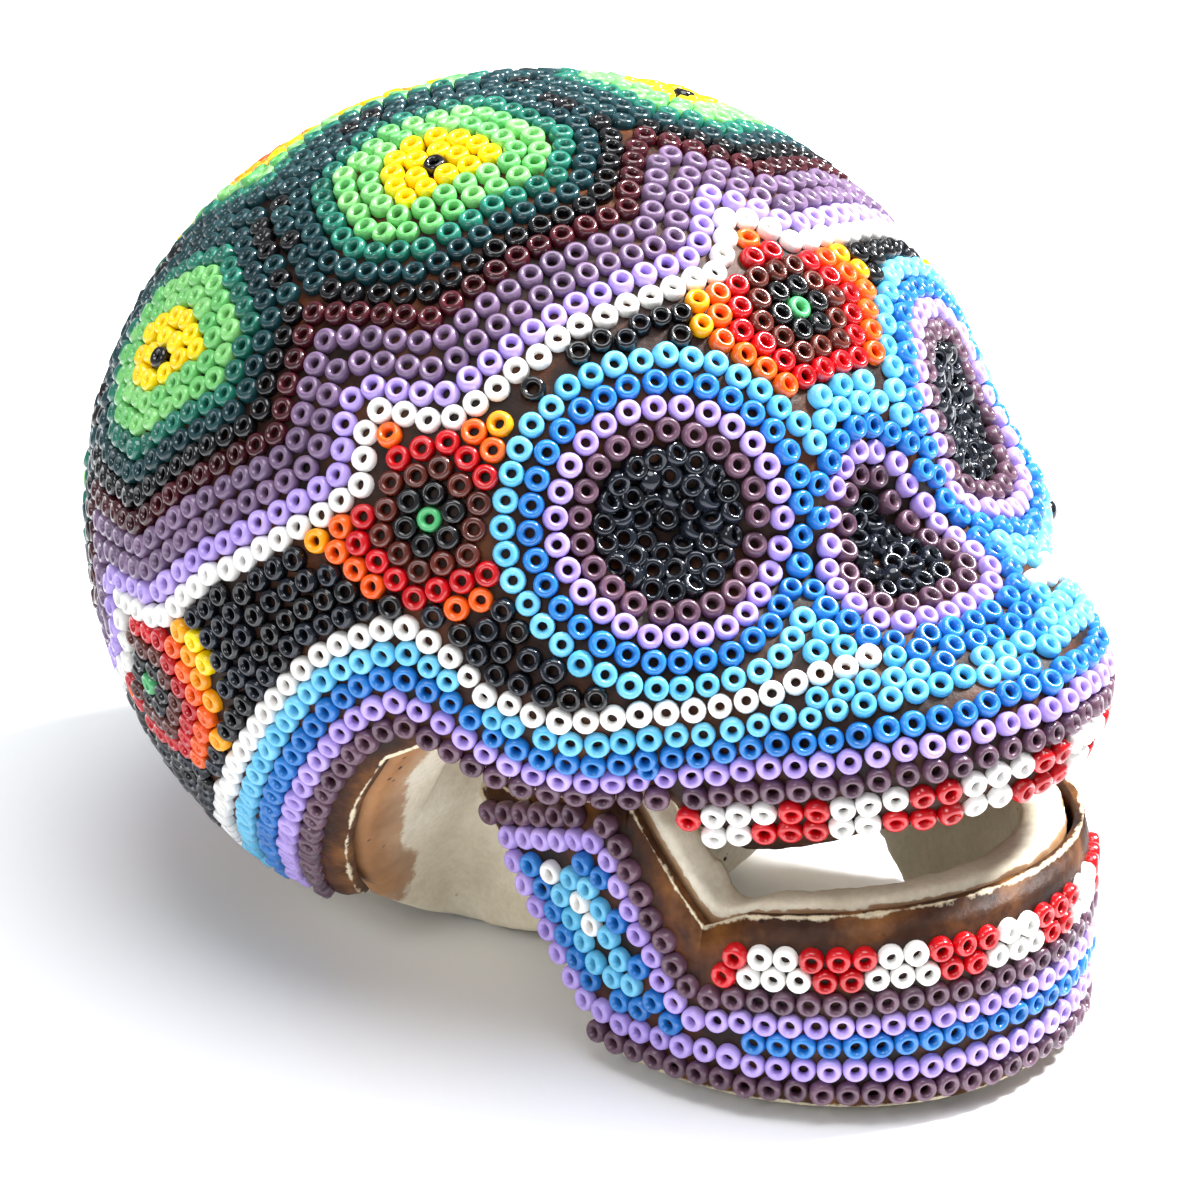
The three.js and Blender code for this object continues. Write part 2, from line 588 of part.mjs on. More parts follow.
function buildJaw() {
  const inside = JAW_HALF - JAW_WALL;
  const branches = SIDES.map(([, side]) => {
    const [from, to] = side < 0 ? [-JAW_HALF, -inside] : [inside, JAW_HALF];
    return alongX(CONDYLE_RADIUS, from, to);
  });
  const body = meet(jawPlan(-JAW_WALL, 0), sidePrism(JAW_SIDE));
  addPart('jaw_casting', cut(join(body, ...branches), alongX(PIN.bore, -60, 60)), 'bone');
  const waxSide = offsetOutline(JAW_SIDE, -0.6);
  const bareFoot = box([-60, -80, -5], [60, 40, 1.1]);
  addPart('jaw_wax', cut(meet(jawPlan(...WAX), sidePrism(waxSide)), bareFoot,
    alongX(CONDYLE_RADIUS + GAP, -60, 60)), 'wax');

  const boss = alongX(CONDYLE_RADIUS + GAP, -60, 60);
  const layer = cut(jawPlan(...BEADS), boss);
  const band = (from, to) => cut(meet(layer, jawField(from, -HALF_GAP)), jawField(to, HALF_GAP));
  const belowMiddle = box([-60, -80, -5], [60, 40, 8]);
  addPart('jaw_plum_band', cut(band(0, 1), belowMiddle), 'plum');
  addPart('jaw_plum_foot', meet(band(0, 1), belowMiddle), 'plum');
  addPart('jaw_lilac_band', band(1, 2), 'lilac');
  addPart('jaw_blue_band', cut(meet(layer, jawField(2, -HALF_GAP)), branchField(3, HALF_GAP)),
    'blue');
  for (const [sideName, side] of SIDES) {
    addPart(`jaw_${sideName}_branch_core`,
      meet(layer, branchField(3, -HALF_GAP), halfSpace(side)), 'sky');
  }
  addPart('lower_teeth', cut(meet(layer, sidePrism(JAW_TEETH)), jawField(0, HALF_GAP)), 'red');
  for (const [sideName, side] of SIDES) {
    const ends = [side * PIN.inner, side * PIN.outer].sort((a, b) => a - b);
    addPart(`hinge_pin_${sideName}`, alongX(PIN.radius, ...ends), 'steel');
  }
}

buildCranium();
buildJaw();

export default group;
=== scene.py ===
"""Beaded skull in the Huichol (Wixarika) manner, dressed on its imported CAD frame.

The frame's bead nodes are thin shells, one for each band or motif. Here every shell is
replaced by its glass seed beads, laid hole up in rows that follow the shell's edges, the
wax shells by hand-spread beeswax that rises between the beads, and the two castings by
slightly worn cream resin. All lengths are metres.
"""

import json
import math

import bpy
import numpy as np
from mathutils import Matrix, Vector, noise
from mathutils.bvhtree import BVHTree
from mathutils.kdtree import KDTree


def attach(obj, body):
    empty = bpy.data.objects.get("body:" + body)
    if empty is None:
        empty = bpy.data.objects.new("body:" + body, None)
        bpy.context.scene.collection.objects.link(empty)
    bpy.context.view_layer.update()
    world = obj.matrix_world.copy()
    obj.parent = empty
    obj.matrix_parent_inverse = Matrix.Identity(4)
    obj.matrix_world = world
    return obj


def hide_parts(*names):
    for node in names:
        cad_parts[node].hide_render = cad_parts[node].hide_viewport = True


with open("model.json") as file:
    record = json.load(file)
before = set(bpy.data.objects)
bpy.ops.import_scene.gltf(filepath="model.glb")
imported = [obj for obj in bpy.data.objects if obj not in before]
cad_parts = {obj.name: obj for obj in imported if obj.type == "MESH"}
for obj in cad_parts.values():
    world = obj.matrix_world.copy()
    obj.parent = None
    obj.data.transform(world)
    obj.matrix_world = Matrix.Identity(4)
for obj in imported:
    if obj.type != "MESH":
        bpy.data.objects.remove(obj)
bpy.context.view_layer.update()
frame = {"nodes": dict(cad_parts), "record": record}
NODES = frame["nodes"]
MM = 0.001
chance = np.random.default_rng(7)

# ---- seed beads ----
PITCH = 2.24 * MM              # bead to bead along a row
ROW = 1.98 * MM                # row to row where rows nest into each other
FIRST_ROW = 1.15 * MM          # from a shell's edge to the middle of its first row
BEAD_RADIUS = 1.15 * MM
HOLE_RADIUS = 0.4 * MM
BEAD_HEIGHT = 1.6 * MM
BEAD_LIFT = 0.8 * MM           # bead middle above the face of the CAD wax
LIFT_PLAY = 0.1 * MM           # and up to this much more
LIFT_SPREAD = 0.05 * MM
SHELL_LIFT = 1.6 * MM          # face of the CAD bead shells above the face of the CAD wax
TOUCHING = 2.22 * MM           # beads closer than this are eased apart
CROWDED = 1.8 * MM             # no bead is laid closer than this to another
SQUEEZED = 1.72 * MM           # but so close where a whole motif is packed with beads
ROOMY = 2.0 * MM               # and at least so far where rows should stay single
RING_END = 0.6 * MM            # a row whose ends come this close is a ring
LAID_SPREAD = 0.035 * MM       # how far beads stray from where they are laid
EASE_PUSH = 0.4                # share of an overlap that one round of easing takes away
EASE_PULL = 0.025              # and share of the way back to where a bead was laid
ROW_RIM = 0.2 * MM             # beads of a row keep their middles this far inside a shell
FILL_RIM = 0.4 * MM            # and so do the beads that fill
HOLE_RIM = 0.1 * MM            # and those that close the last holes
BEAD_SEGMENTS = 18
BEAD_PROFILE = 9
TILT = 4.5                     # degrees, one standard deviation
LOOSE_TILT = 22.0              # in the eye sockets and the nose
LOOSE_PITCH = 1.8 * MM
LOOSE_ROW = LOOSE_PITCH * 0.9
LOOSE_FIRST_ROW = 0.7 * MM
LOOSE_CROWDED = 0.85 * LOOSE_PITCH
LOOSE_FILL = 0.83 * LOOSE_PITCH
LOOSE_SQUEEZED = 1.4 * MM
WIDTH_SPREAD = 0.022           # bead to bead, as a share of the size
HEIGHT_SPREAD = 0.06

# ---- the rings of the suns are tried out at several turns and shifts ----
SUN_TURN = 12                  # degrees
SUN_SHIFT = 0.9 * MM
SUN_GAP = 0.5 * MM             # a seat no further than this off the shell will do

# ---- faces of the CAD shells ----
OUTWARD = 0.6                  # least cosine between an outward face and straight out
OUTWARD_ON_LIP = {"blue_cheek_band": 0.4}   # the lip is hollow, so less there

# ---- wax and castings ----
WAX_RISE = 0.72 * MM           # how far wax stands up between the beads
WAX_EDGE = 1.6 * MM            # width over which it thins out at its edge
CASTING_VOXEL = 0.75 * MM
UNDER_WAX = 0.3 * MM           # the castings are drawn in by this much below the wax


# ---------------------------------------------------------------- surfaces of CAD shells

def welded(names):
    """The triangles of some CAD nodes as (points, triangles), with corners joined up."""
    points, triangles, base = [], [], 0
    for name in names:
        mesh = NODES[name].data
        mesh.calc_loop_triangles()
        corners = np.empty(len(mesh.loop_triangles) * 3, int)
        mesh.loop_triangles.foreach_get("vertices", corners)
        coords = np.empty(len(mesh.vertices) * 3)
        mesh.vertices.foreach_get("co", coords)
        points.append(coords.reshape(-1, 3))
        triangles.append(corners.reshape(-1, 3) + base)
        base += len(mesh.vertices)
    return weld(np.concatenate(points), np.concatenate(triangles))


def weld(points, triangles, grid=2e-6):
    keys = np.round(points / grid).astype(np.int64)
    _, first, inverse = np.unique(keys, axis=0, return_index=True, return_inverse=True)
    triangles = inverse.reshape(-1)[triangles]
    a, b, c = triangles.T
    return points[first], triangles[(a != b) & (b != c) & (a != c)]


def tree_of(points, triangles):
    return BVHTree.FromPolygons(points.tolist(), triangles.tolist())


def distances(tree, points):
    return np.array([tree.find_nearest(point)[3] for point in points.tolist()])


def lengths(vectors):
    return np.linalg.norm(vectors, axis=1)


def unit(vectors):
    return vectors / np.maximum(lengths(vectors), 1e-15)[:, None]


def refined(points, triangles, steps):
    """Every triangle cut into steps x steps small ones, joined up again."""
    cells = [(i, j) for i in range(steps + 1) for j in range(steps + 1 - i)]
    number = {cell: index for index, cell in enumerate(cells)}
    weights = np.array([((steps - i - j) / steps, i / steps, j / steps) for i, j in cells])
    small = [(number[i, j], number[i + 1, j], number[i, j + 1])
             for i, j in cells if i + j < steps]
    small += [(number[i + 1, j], number[i + 1, j + 1], number[i, j + 1])
              for i, j in cells if i + j < steps - 1]
    lattice = np.einsum("kc,tcx->tkx", weights, points[triangles]).reshape(-1, 3)
    base = np.arange(len(triangles))[:, None, None] * len(cells)
    return weld(lattice, (base + np.array(small)).reshape(-1, 3))


def outward_faces(points, triangles, core, least=OUTWARD):
    """The triangles of a shell that look straight away from the casting under it, or
    nearly so: `least` is the smallest cosine that passes."""
    a, b, c = (points[triangles[:, corner]] for corner in range(3))
    normals = unit(np.cross(b - a, c - a))
    middles = (a + b + c) / 3
    below = np.array([core.find_nearest(point)[0] for point in middles.tolist()])
    return triangles[(normals * unit(middles - below)).sum(1) > least]


class Skin:
    """The outward face of a wax shell, read as a smooth surface."""

    def __init__(self, name, core):
        points, triangles = welded([name])
        self.triangles = outward_faces(points, triangles, core)
        self.points = points
        a, b, c = (points[self.triangles[:, corner]] for corner in range(3))
        self.normals = np.zeros_like(points)
        for corner in range(3):
            np.add.at(self.normals, self.triangles[:, corner], np.cross(b - a, c - a))
        self.normals = unit(self.normals)
        self.tree = tree_of(points, self.triangles)

    def at(self, points):
        """The nearest places on the skin, how far they sink to round off the facets, and
        the directions the skin faces there."""
        found = [self.tree.find_nearest(point) for point in np.asarray(points).tolist()]
        places = np.array([hit[0] for hit in found])
        corners = self.triangles[[hit[2] for hit in found]]
        shares = shares_of(places, self.points[corners])
        directions = self.normals[corners]
        normals = unit((shares[:, :, None] * directions).sum(1))
        heights = ((places[:, None] - self.points[corners]) * directions).sum(2)
        rounding = -0.75 * ((shares * heights)[:, :, None] * directions).sum(1)
        return places, rounding, normals


def shares_of(places, corners):
    """Barycentric weights of places in their triangles."""
    a, b, c = corners[:, 0], corners[:, 1], corners[:, 2]
    ab, ac, ap = b - a, c - a, places - a
    d00, d01, d11 = (ab * ab).sum(1), (ab * ac).sum(1), (ac * ac).sum(1)
    d20, d21 = (ap * ab).sum(1), (ap * ac).sum(1)
    scale = np.maximum(d00 * d11 - d01 * d01, 1e-24)
    v = np.clip((d11 * d20 - d01 * d21) / scale, 0.0, 1.0)
    w = np.clip((d00 * d21 - d01 * d20) / scale, 0.0, 1.0 - v)
    return np.stack([1.0 - v - w, v, w], axis=1)


class Patch:
    """The outward face of a bead shell, cut into a fine lattice for drawing rows on."""

    STEPS = 10

    def __init__(self, name, core):
        points, triangles = welded([name])
        least = OUTWARD_ON_LIP.get(name, OUTWARD)
        faces = outward_faces(points, triangles, core, least)
        self.name = name
        self.tree = tree_of(points, faces)
        self.rim = self.rim_tree(points, faces)
        self.points, self.triangles = refined(points, faces, self.STEPS)
        self.inside = np.array([self.rim.find(point)[2] for point in self.points.tolist()])

    @staticmethod
    def rim_tree(points, faces, spacing=0.25 * MM):
        edges = np.sort(np.concatenate([faces[:, [0, 1]], faces[:, [1, 2]], faces[:, [2, 0]]]), 1)
        edges, uses = np.unique(edges, axis=0, return_counts=True)
        samples = []
        for a, b in points[edges[uses == 1]]:
            count = max(int(np.linalg.norm(b - a) / spacing), 1)
            samples += [a + (b - a) * step / count for step in range(count + 1)]
        tree = KDTree(len(samples))
        for index, sample in enumerate(samples):
            tree.insert(sample, index)
        tree.balance()
        return tree

    def contours(self, field, level):
        """Chains of points where the field crosses the level, as (points, closed) pairs."""
        above = field > level
        count = above[self.triangles].sum(1)
        links = {}
        for a, b, c in self.triangles[(count > 0) & (count < 3)].tolist():
            cut = [(min(p, q), max(p, q)) for p, q in ((a, b), (b, c), (c, a))
                   if above[p] != above[q]]
            links.setdefault(cut[0], []).append(cut[1])
            links.setdefault(cut[1], []).append(cut[0])
        chains = []
        for ends_only in (True, False):
            for start in list(links):
                if start not in links or (ends_only and len(links[start]) != 1):
                    continue
                chains.append(self.follow(links, start, field, level))
        return chains

    def follow(self, links, start, field, level):
        """One chain of crossings, taken out of the links as it is walked."""
        chain, here = [start], start
        while True:
            following = [key for key in links.pop(here, []) if key in links]
            if not following:
                break
            here = following[0]
            chain.append(here)
        points = np.array([self.crossing(key, field, level) for key in chain])
        closed = len(points) > 3 and np.linalg.norm(points[0] - points[-1]) < RING_END
        return points, closed

    def crossing(self, key, field, level):
        """Where the field takes the level between the two points of an edge."""
        a, b = key
        share = (level - field[a]) / (field[b] - field[a])
        return self.points[a] + (self.points[b] - self.points[a]) * share


# ---------------------------------------------------------------- laying beads

class Layer:
    """All the beads of one body, laid one by one on its skin."""

    def __init__(self, body, casting, wax):
        self.body = body
        self.core = tree_of(*welded([casting]))
        self.skin = Skin(wax, self.core)
        self.places, self.colours, self.nodes, self.loose = [], [], [], []
        self.cells = {}
        self.patches = {}

    def patch(self, name):
        if name not in self.patches:
            self.patches[name] = Patch(name, self.core)
        return self.patches[name]

    def cell(self, place):
        return tuple(int(math.floor(value / PITCH)) for value in place)

    def is_clear(self, place, distance):
        x, y, z = self.cell(place)
        for i in (x - 1, x, x + 1):
            for j in (y - 1, y, y + 1):
                for k in (z - 1, z, z + 1):
                    for index in self.cells.get((i, j, k), ()):
                        if math.dist(self.places[index], place) < distance:
                            return False
        return True

    def add(self, place, colour, node, loose=False):
        self.cells.setdefault(self.cell(place), []).append(len(self.places))
        self.places.append(np.array(place))
        self.colours.append(colour)
        self.nodes.append(node)
        self.loose.append(loose)

    def lay(self, patch, chain, closed, colour, loose=False, phase=None):
        """Beads along one chain of points. `colour` is a name, or a function of the
        bead's place and its distance along the chain from the middle of the face. With a
        `phase`, the beads are counted from there, starting so many beads to its left."""
        pitch, crowded = (LOOSE_PITCH, LOOSE_CROWDED) if loose else (PITCH, CROWDED)
        steps = lengths(np.diff(chain, axis=0))
        along = np.concatenate([[0.0], np.cumsum(steps)])
        total = along[-1]
        middle = np.argmin(np.abs(chain[:, 0]))
        way = 1.0 if chain[-1, 0] > chain[0, 0] else -1.0
        if closed:
            count = max(round(total / pitch), 3)
            wanted = (np.arange(count) + 0.5) * total / count
        elif phase is not None:
            reach = int(total / pitch) + 1
            wanted = along[middle] + (np.arange(-reach, reach + 1) + phase) * pitch * way
            wanted = wanted[(wanted > 0) & (wanted < total)]
        else:
            count = int(total / pitch) + 1
            wanted = total / 2 + (np.arange(count) - (count - 1) / 2) * pitch
        for distance in wanted:
            place = np.array([np.interp(distance, along, chain[:, axis]) for axis in range(3)])
            if patch.rim.find(place)[2] < ROW_RIM or not self.is_clear(place, crowded):
                continue
            offset = (distance - along[middle]) * way
            name = colour(place, offset) if callable(colour) else colour
            self.add(place, name, patch.name, loose)

    def rows(self, name, field, levels, colours, loose=False, phases=()):
        """One row of beads at each level of a field drawn over a shell."""
        patch = self.patch(name)
        for number, level in enumerate(levels):
            if level > field.max():
                break
            colour = colours[min(number, len(colours) - 1)]
            phase = phases[number] if phases else None
            chains = patch.contours(field, level)
            for chain, closed in sorted(chains, key=lambda item: -len(item[0])):
                if len(chain) > 1:
                    self.lay(patch, chain, closed, colour, loose, phase)

    def between(self, name, inner, outer, colours):
        """Rows that share out the width between two groups of neighbouring shells."""
        patch = self.patch(name)
        near = distances(tree_of(*welded(inner)), patch.points)
        far = distances(tree_of(*welded(outer)), patch.points)
        count = len(colours)
        self.rows(name, near / (near + far), [(row + 0.5) / count for row in range(count)],
                  colours)

    def beside(self, name, others, colours, count=30, row=ROW, first=FIRST_ROW,
               phases=()):
        """Rows laid one after another away from the shells next to this one."""
        patch = self.patch(name)
        near = distances(tree_of(*welded(others)), patch.points)
        levels = [first + row * number for number in range(count)]
        self.rows(name, near, levels, colours, phases=phases)

    def inward(self, name, colours, loose=False):
        """Rows laid inwards from a shell's own edge."""
        patch = self.patch(name)
        first, row = (LOOSE_FIRST_ROW, LOOSE_ROW) if loose else (FIRST_ROW, ROW)
        self.rows(name, patch.inside, [first + row * number for number in range(14)],
                  colours, loose)

    def honeycomb(self, name, colours):
        """Six-sided rings of beads round a centre bead, each ring in its own colour. The
        honeycomb is shifted and turned a little, to the way that seats the most beads."""
        patch = self.patch(name)
        middle = self.centre_of(name)
        up = self.skin.at([middle])[2][0]
        side = unit(np.cross([(0.0, 0.0, 1.0)], [up]))[0]
        rise = np.cross(up, side)
        span = range(-6, 7)
        spots = sorted((max(abs(i), abs(j), abs(i + j)), i, j) for i in span for j in span)
        best = []
        for turn in np.radians(np.arange(0, 60, SUN_TURN)):
            across = side * math.cos(turn) + rise * math.sin(turn)
            along = np.cross(up, across)
            for shift in ((0, 0), (1, 0), (-1, 0), (0, 1), (0, -1)):
                centre = middle + (side * shift[0] + rise * shift[1]) * SUN_SHIFT
                seats = []
                for ring, i, j in spots:
                    flat = centre + PITCH * (across * (i + j / 2) + along * j * math.sqrt(0.75))
                    place = np.array(patch.tree.find_nearest(flat)[0])
                    flat += up * np.dot(place - flat, up)
                    place, _, _, gap = patch.tree.find_nearest(flat)
                    if (gap < SUN_GAP and patch.rim.find(place)[2] >= ROW_RIM
                            and self.is_clear(place, CROWDED)):
                        seats.append((np.array(place), ring))
                if len(seats) > len(best):
                    best = seats
        for place, ring in best:
            if self.is_clear(place, CROWDED):
                self.add(place, colours[min(ring, len(colours) - 1)], name)
        return best[0][0]

    def fill(self, name, colour, needed=CROWDED, loose=False, rim=FILL_RIM):
        """Packs beads one by one into whatever room a shell has left, no closer than
        `needed` to other beads and no closer than `rim` to the shell's edge."""
        patch = self.patch(name)
        room = patch.points[patch.inside >= rim]
        if not len(room):
            return
        needed = LOOSE_FILL if loose else needed
        placed = np.array(self.places) if self.places else np.full((1, 3), 9.0)
        low, high = room.min(0) - 2 * PITCH, room.max(0) + 2 * PITCH
        gaps = np.full(len(room), 9.0)
        for place in placed[((placed > low) & (placed < high)).all(1)]:
            gaps = np.minimum(gaps, lengths(room - place))
        while (gaps >= needed).any():
            free = np.where(gaps >= needed)[0]
            place = room[free[np.argmin(gaps[free])]]
            chosen = colour(place, None) if callable(colour) else colour
            self.add(place, chosen, name, loose)
            gaps = np.minimum(gaps, lengths(room - place))

    def centre_of(self, name):
        """The middle of a shell's outward face, brought back onto the shell."""
        points = self.patch(name).points
        return points[np.argmin(lengths(points - points.mean(0)))]

    def nearest_colour(self, name):
        """A colour function that copies the nearest bead already laid in a shell."""
        def colour(place, offset):
            members = [index for index, node in enumerate(self.nodes) if node == name]
            gaps = [math.dist(self.places[index], place) for index in members]
            return self.colours[members[int(np.argmin(gaps))]]
        return colour

    def ease(self, places, rounds):
        """Eases touching beads apart, keeping each near the place where it was laid."""
        laid = places.copy()
        loose = np.array(self.loose)
        for _ in range(rounds):
            push = np.zeros_like(places)
            for index, other, gap in neighbours(places, TOUCHING):
                wanted = LOOSE_PITCH if loose[index] and loose[other] else TOUCHING
                if 0 < gap < wanted:
                    share = (wanted - gap) * EASE_PUSH / gap
                    push[index] += (places[index] - places[other]) * share
            places = places + push + EASE_PULL * (laid - places)
        return places

    def settle(self):
        """Eases the beads apart, takes out any that still have no room, fills any holes,
        and eases again."""
        places = np.array(self.places)
        places = self.ease(places + chance.normal(0, LAID_SPREAD, places.shape), 16)
        dropped = set()
        for index, other, gap in neighbours(places, SQUEEZED):
            both_loose = self.loose[index] and self.loose[other]
            tight = LOOSE_SQUEEZED if both_loose else SQUEEZED
            if index > other and gap < tight and other not in dropped:
                dropped.add(index)
        kept = [index for index in range(len(places)) if index not in dropped]
        self.places = [places[index] for index in kept]
        self.colours = [self.colours[index] for index in kept]
        self.nodes = [self.nodes[index] for index in kept]
        self.loose = [self.loose[index] for index in kept]
        for name in self.patches:
            if "teeth" not in name and not name.endswith("_fill"):
                self.fill(name, self.nearest_colour(name), ROOMY, rim=HOLE_RIM)
        return self.ease(np.array(self.places), 12)


def neighbours(places, reach):
    """Pairs of beads closer than a reach, both ways round, with the gap between middles."""
    tree = KDTree(len(places))
    for index, place in enumerate(places.tolist()):
        tree.insert(place, index)
    tree.balance()
    for index, place in enumerate(places.tolist()):
        for _, other, gap in tree.find_range(place, reach):
            if other != index:
                yield index, other, gap


# ---------------------------------------------------------------- bead meshes

def bead_template():
    """One seed bead about the origin, hole along z: a rounded ring with a round hole."""
    middle = (BEAD_RADIUS + HOLE_RADIUS) / 2
    half = (BEAD_RADIUS - HOLE_RADIUS) / 2
    points = []
    for turn in np.arange(BEAD_SEGMENTS) * 2 * math.pi / BEAD_SEGMENTS:
        for step in np.arange(BEAD_PROFILE) * 2 * math.pi / BEAD_PROFILE:
            across = math.copysign(abs(math.cos(step)) ** 0.88, math.cos(step))
            up = math.copysign(abs(math.sin(step)) ** 0.92, math.sin(step))
            radius = middle + half * across
            points.append((radius * math.cos(turn), radius * math.sin(turn),
                           BEAD_HEIGHT / 2 * up))
    quads = []
    for i in range(BEAD_SEGMENTS):
        for j in range(BEAD_PROFILE):
            ni, nj = (i + 1) % BEAD_SEGMENTS, (j + 1) % BEAD_PROFILE
            quads.append((i * BEAD_PROFILE + j, ni * BEAD_PROFILE + j,
                          ni * BEAD_PROFILE + nj, i * BEAD_PROFILE + nj))
    return np.array(points), np.array(quads)


BEAD_POINTS, BEAD_QUADS = bead_template()


def make_mesh(name, points, faces):
    """A mesh from arrays of points and of faces with equally many corners."""
    mesh = bpy.data.meshes.new(name)
    faces = np.asarray(faces)
    mesh.vertices.add(len(points))
    mesh.vertices.foreach_set("co", np.asarray(points, float).ravel())
    mesh.loops.add(faces.size)
    mesh.loops.foreach_set("vertex_index", faces.ravel())
    mesh.polygons.add(len(faces))
    mesh.polygons.foreach_set("loop_start", np.arange(len(faces)) * faces.shape[1])
    mesh.update(calc_edges=True)
    mesh.validate()
    mesh.polygons.foreach_set("use_smooth", np.ones(len(faces), bool))
    return mesh


def add_piece(name, mesh, body):
    piece = bpy.data.objects.new(name, mesh)
    bpy.context.scene.collection.objects.link(piece)
    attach(piece, body)
    return piece


def bead_frames(normals, tilts):
    """A turned and slightly tilted set of axes for each bead."""
    count = len(normals)
    lean = chance.normal(0, 1, (count, 3)) * np.radians(tilts)[:, None]
    up = unit(normals + lean)
    side = unit(np.cross(up, chance.normal(0, 1, (count, 3))))
    return np.stack([side, np.cross(up, side), up], axis=2)


def build_beads(layer, wax):
    """One piece for each colour in each shell, set in the wax, with a tint on each bead."""
    places = layer.settle()
    seats, rounding, normals = layer.skin.at(places)
    count = len(places)
    middles = places + rounding - normals * (SHELL_LIFT - BEAD_LIFT)
    heights = ((middles - seats - rounding) * normals).sum(1)
    wanted = np.clip(heights, BEAD_LIFT, BEAD_LIFT + LIFT_PLAY)
    wanted += chance.normal(0, LIFT_SPREAD, count)
    middles += normals * (wanted - heights)[:, None]
    nearest = np.full(count, TOUCHING)
    for index, _, gap in neighbours(middles, TOUCHING):
        nearest[index] = min(nearest[index], gap)
    frames = bead_frames(normals, np.where(layer.loose, LOOSE_TILT, TILT))
    room = np.where(layer.loose, 1.0, nearest / (2 * BEAD_RADIUS) + 0.03)
    widths = np.minimum(chance.normal(1.0, WIDTH_SPREAD, count), room).clip(0.86, 1.05)
    depths = chance.normal(1.0, HEIGHT_SPREAD, count).clip(0.82, 1.15)
    sizes = np.stack([widths, widths, depths], axis=1)
    tints = chance.random(count)
    groups = {}
    for index, key in enumerate(zip(layer.nodes, layer.colours)):
        groups.setdefault(key, []).append(index)
    for (node, colour), members in sorted(groups.items()):
        chosen = np.array(members)
        shaped = BEAD_POINTS[None] * sizes[chosen][:, None]
        points = np.einsum("nij,nkj->nki", frames[chosen], shaped) + middles[chosen][:, None]
        base = np.arange(len(chosen))[:, None, None] * len(BEAD_POINTS)
        faces = (base + BEAD_QUADS[None]).reshape(-1, 4)
        mesh = make_mesh(f"{node}_{colour}", points.reshape(-1, 3), faces)
        tint = mesh.attributes.new("tint", "FLOAT", "POINT")
        tint.data.foreach_set("value", np.repeat(tints[chosen], len(BEAD_POINTS)))
        mesh.materials.append(bead_material(colour))
        piece = bpy.data.objects.new(f"{node}_{colour}_beads", mesh)
        bpy.context.scene.collection.objects.link(piece)
        piece.parent = wax
        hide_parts(node)
        slot_of(node)
    print(f"{layer.body}: {count} beads in {len(groups)} pieces")


def slot_of(node):
    subparts = frame["record"]["subparts"]
    return next(part["material_slot"] for part in subparts if part["node"] == node)


# ---------------------------------------------------------------- materials

def linear(code):
    """A hex colour as the linear numbers that shaders use."""
    values = [int(code[start:start + 2], 16) / 255 for start in (0, 2, 4)]
    return [value / 12.92 if value <= 0.04045 else ((value + 0.055) / 1.055) ** 2.4
            for value in values] + [1.0]


# colour: darker tint, lighter tint, roughness, metallic, coat
GLASS = {
    "black": ("060608", "101114", 0.16, 0.0, 0.2),
    "gunmetal": ("0d1016", "1f2530", 0.16, 0.45, 0.4),
    "dark_teal": ("0f2c33", "1a4044", 0.2, 0.0, 0.0),
    "teal": ("155a4b", "237663", 0.2, 0.0, 0.2),
    "light_green": ("52ad5c", "86cc78", 0.22, 0.0, 0.2),
    "green": ("389a5c", "52b270", 0.22, 0.0, 0.2),
    "yellow": ("f4c800", "fde008", 0.22, 0.0, 0.2),
    "amber": ("ee9004", "f9a90e", 0.22, 0.0, 0.2),
    "orange": ("e04e0e", "f26618", 0.22, 0.0, 0.2),
    "red": ("a6040e", "ca0c18", 0.2, 0.0, 0.3),
    "brown": ("42160d", "602318", 0.2, 0.0, 0.3),
    "maroon": ("300a11", "4b161f", 0.18, 0.0, 0.3),
    "mauve": ("63506b", "7d6486", 0.26, 0.0, 0.2),
    "lilac": ("a088d2", "b9a2e4", 0.24, 0.0, 0.2),
    "plum": ("4d3444", "67485a", 0.26, 0.0, 0.2),
    "white": ("e2e0dc", "f4f3f1", 0.22, 0.0, 0.2),
    "sky": ("4aabd6", "74c6e8", 0.22, 0.0, 0.2),
    "blue": ("1866b2", "2b80cc", 0.2, 0.0, 0.2),
}


def new_material(name):
    material = bpy.data.materials.new(name)
    material.use_nodes = True
    nodes, links = material.node_tree.nodes, material.node_tree.links
    return material, nodes, links, nodes["Principled BSDF"]


def add_noise(nodes, links, scale, detail=3.0, roughness=0.5):
    place = nodes.new("ShaderNodeTexCoord")
    pattern = nodes.new("ShaderNodeTexNoise")
    pattern.inputs["Scale"].default_value = scale
    pattern.inputs["Detail"].default_value = detail
    pattern.inputs["Roughness"].default_value = roughness
    links.new(place.outputs["Object"], pattern.inputs["Vector"])
    return pattern.outputs["Fac"]


def add_ramp(nodes, links, source, stops):
    ramp = nodes.new("ShaderNodeValToRGB")
    elements = ramp.color_ramp.elements
    while len(elements) < len(stops):
        elements.new(0.5)
    for element, (position, colour) in zip(elements, stops):
        element.position = position
        element.color = colour
    links.new(source, ramp.inputs["Fac"])
    return ramp.outputs["Color"]


def add_mix(nodes, links, share, first, second):
    mix = nodes.new("ShaderNodeMix")
    mix.data_type = "RGBA"
    for socket, value in ((mix.inputs[0], share), (mix.inputs[6], first),
                          (mix.inputs[7], second)):
        if isinstance(value, bpy.types.NodeSocket):
            links.new(value, socket)
        else:
            socket.default_value = value
    return mix.outputs[2]


def add_maths(nodes, links, operation, first, second=0.0):
    sum_node = nodes.new("ShaderNodeMath")
    sum_node.operation = operation
    for socket, value in zip(sum_node.inputs, (first, second)):
        if isinstance(value, bpy.types.NodeSocket):
            links.new(value, socket)
        else:
            socket.default_value = value
    return sum_node.outputs[0]


